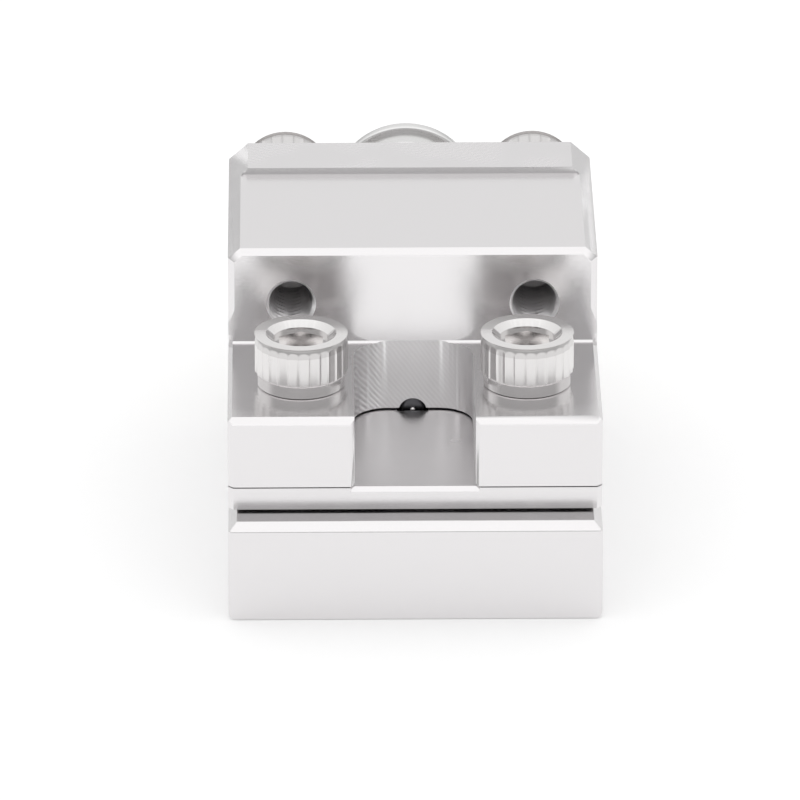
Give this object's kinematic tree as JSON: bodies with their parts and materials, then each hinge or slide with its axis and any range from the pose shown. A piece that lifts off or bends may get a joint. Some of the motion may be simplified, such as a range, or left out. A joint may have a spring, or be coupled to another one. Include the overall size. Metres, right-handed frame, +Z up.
{
  "type": "watchmaker's clamping holder",
  "caption": "Stepped metal clamp block: a round-cornered seat opens to the front between two cap screws, over a parting plane with a small bore and a stop rod set by a round knob behind",
  "frame": {"origin": "middle of the footprint, on the surface that the base block stands on", "axes": "+Y runs from the open seat at the front to the knob at the back, +Z is up, +X is to the right as seen from the front"},
  "size_m": [0.034, 0.0764, 0.0283],
  "materials": {
    "block_aluminium": "milled and finely polished, bright chamfers",
    "knob_aluminium": "turned, bright",
    "plated_screw": "bright nickel plating",
    "dark_steel": "blackened",
    "ground_steel": "ground",
    "spring_steel": "drawn wire",
    "bush_brass": "turned"
  },
  "bodies": {
    "base": {"base_block": "block_aluminium", "seat_plate": "block_aluminium", "seat_plate_screw_left": "dark_steel", "seat_plate_screw_right": "dark_steel", "guide_dowel_left": "ground_steel", "guide_dowel_right": "ground_steel", "lift_spring_left": "spring_steel", "lift_spring_right": "spring_steel"},
    "upper_jaw": {"upper_body": "block_aluminium", "rear_plate": "block_aluminium", "rear_cap_screw_left": "plated_screw", "rear_cap_screw_right": "plated_screw", "spindle_bush": "bush_brass"},
    "front_screw_left": {"front_cap_screw_left": "plated_screw"},
    "front_screw_right": {"front_cap_screw_right": "plated_screw"},
    "stop_slider": {"stop_rod": "ground_steel", "stop_pin": "ground_steel"},
    "knob_and_spindle": {"spindle": "ground_steel", "spindle_clip": "spring_steel", "knob": "knob_aluminium", "knob_grub_screw": "dark_steel"}
  },
  "joints": [
    {"name": "jaw_lift", "type": "slide", "parent": "base", "child": "upper_jaw", "axis": [0, 0, 1], "range_m": [-0.00005, 0.0006], "deforming": ["lift_spring_left", "lift_spring_right"]},
    {"name": "left_screw_turn", "type": "hinge", "parent": "upper_jaw", "child": "front_screw_left", "pos_m": [-0.0103, -0.02685, 0.0185], "axis": [0, 0, 1], "range_deg": [-22.6, 270.1]},
    {"name": "right_screw_turn", "type": "hinge", "parent": "upper_jaw", "child": "front_screw_right", "pos_m": [0.0103, -0.02685, 0.0185], "axis": [0, 0, 1], "range_deg": [-22.6, 270.1]},
    {"name": "stop_travel", "type": "slide", "parent": "upper_jaw", "child": "stop_slider", "axis": [0, 1, 0], "range_m": [0, 0.007]},
    {"name": "knob_turn", "type": "hinge", "parent": "stop_slider", "child": "knob_and_spindle", "pos_m": [0, 0.03175, 0.0116], "axis": [0, 1, 0], "range_deg": [0, 3600.1]}
  ],
  "couplings": [
    {"joint": "left_screw_turn", "follows": "jaw_lift", "rad_per_m": 7854},
    {"joint": "right_screw_turn", "follows": "jaw_lift", "rad_per_m": 7854},
    {"joint": "knob_turn", "follows": "stop_travel", "rad_per_m": 8976}
  ]
}
